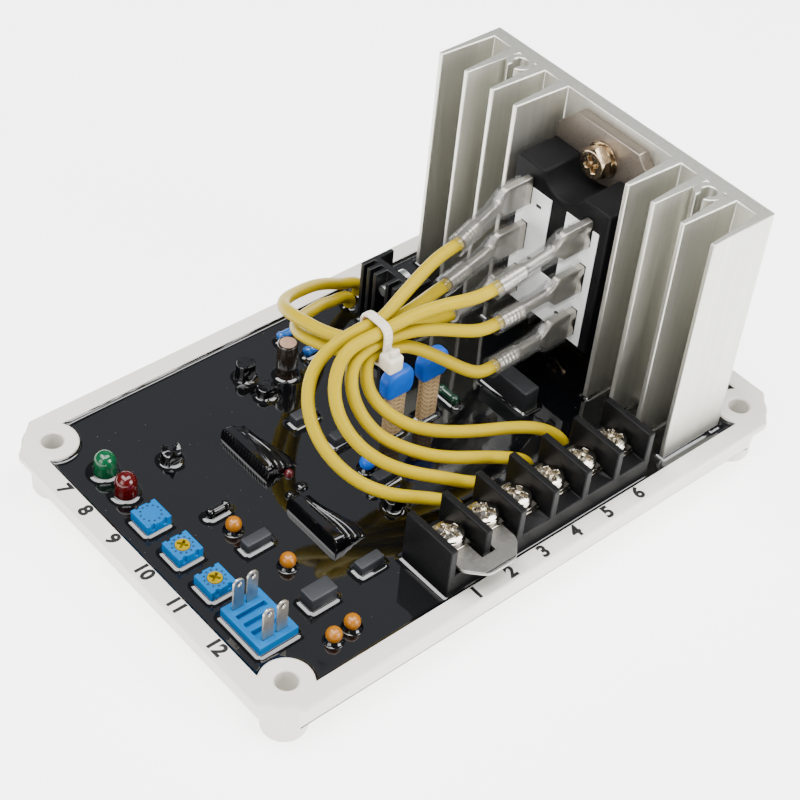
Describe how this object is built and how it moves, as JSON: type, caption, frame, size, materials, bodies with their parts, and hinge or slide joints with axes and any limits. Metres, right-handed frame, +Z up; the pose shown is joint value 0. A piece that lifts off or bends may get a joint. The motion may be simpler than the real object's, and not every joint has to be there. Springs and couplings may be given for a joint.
{
  "type": "automatic voltage regulator",
  "caption": "Potted generator voltage regulator: tray, finned heat sink, rectifier module with spade leads, barrier terminal block, lamps, trimmers and selector.",
  "frame": {"origin": "under the middle of the tray, at the underside of its feet", "axes": "+X along the tray towards the heat sink, +Y away from the terminal block, +Z up"},
  "size_m": [0.1526, 0.1004, 0.0753],
  "materials": {
    "tray_plastic": "satin",
    "resin": "glossy",
    "board": "satin",
    "aluminium": "satin",
    "zinc_steel": "satin",
    "nickel_steel": "polished",
    "nickel_plate": "satin",
    "case_plastic": "matte",
    "label": "matte",
    "tinned_brass": "satin",
    "clear_sleeve": "glossy",
    "lead_insulation": "satin",
    "tie_nylon": "satin",
    "block_plastic": "satin",
    "green_lens": "glossy",
    "red_lens": "glossy",
    "blue_plastic": "satin",
    "yellow_plastic": "satin",
    "orange_epoxy": "glossy",
    "blue_epoxy": "satin",
    "grey_plastic": "matte",
    "can_sleeve": "glossy",
    "coated_black": "glossy",
    "resistor_blue": "satin",
    "resistor_green": "satin",
    "woven_fibre": "woven",
    "dark_plastic": "satin",
    "black_anodised": "satin"
  },
  "bodies": {
    "regulator": {"tray": "tray_plastic", "potting_resin": "resin", "circuit_board": "board", "heat_sink": "aluminium", "heat_sink_screws": "zinc_steel", "module_base": "nickel_plate", "module_case": "case_plastic", "module_label": "label", "module_tabs": "tinned_brass", "module_screws": "zinc_steel", "spade_receptacles": "tinned_brass", "spade_sleeves": "clear_sleeve", "field_lead_1": "lead_insulation", "field_lead_2": "lead_insulation", "field_lead_3": "lead_insulation", "field_lead_4": "lead_insulation", "gate_lead_1": "lead_insulation", "gate_lead_2": "lead_insulation", "lead_pins": "tinned_brass", "cable_tie": "tie_nylon", "terminal_body": "block_plastic", "terminal_plates": "tinned_brass", "terminal_washers": "nickel_steel", "terminal_screws": "nickel_steel", "shorting_link": "tinned_brass", "lamp_green": "green_lens", "lamp_red": "red_lens", "trimmer_sealed": "blue_plastic", "trimmer_middle": "blue_plastic", "trimmer_end": "blue_plastic", "selector_block": "blue_plastic", "selector_tabs": "tinned_brass", "bead_capacitors": "orange_epoxy", "blue_bead": "blue_epoxy", "film_capacitors": "grey_plastic", "box_capacitor": "grey_plastic", "electrolytic_can": "can_sleeve", "small_transistors": "coated_black", "coated_blocks": "coated_black", "diode": "coated_black", "blue_resistors": "resistor_blue", "green_resistor": "resistor_green", "varistors": "blue_epoxy", "woven_sleeves": "woven_fibre", "relay_box": "dark_plastic", "small_heat_sink": "black_anodised", "power_transistor": "coated_black", "power_transistor_screw": "zinc_steel"},
    "middle_rotor": {"rotor_middle": "yellow_plastic"},
    "end_rotor": {"rotor_end": "yellow_plastic"}
  },
  "joints": [
    {"name": "middle_rotor_turn", "type": "hinge", "parent": "regulator", "child": "middle_rotor", "pos_m": [-0.06395, -0.0017, 0.0158], "axis": [0, 0, 1], "range_deg": [-120, 120]},
    {"name": "end_rotor_turn", "type": "hinge", "parent": "regulator", "child": "end_rotor", "pos_m": [-0.06395, -0.0131, 0.0158], "axis": [0, 0, 1], "range_deg": [-120, 120]}
  ]
}
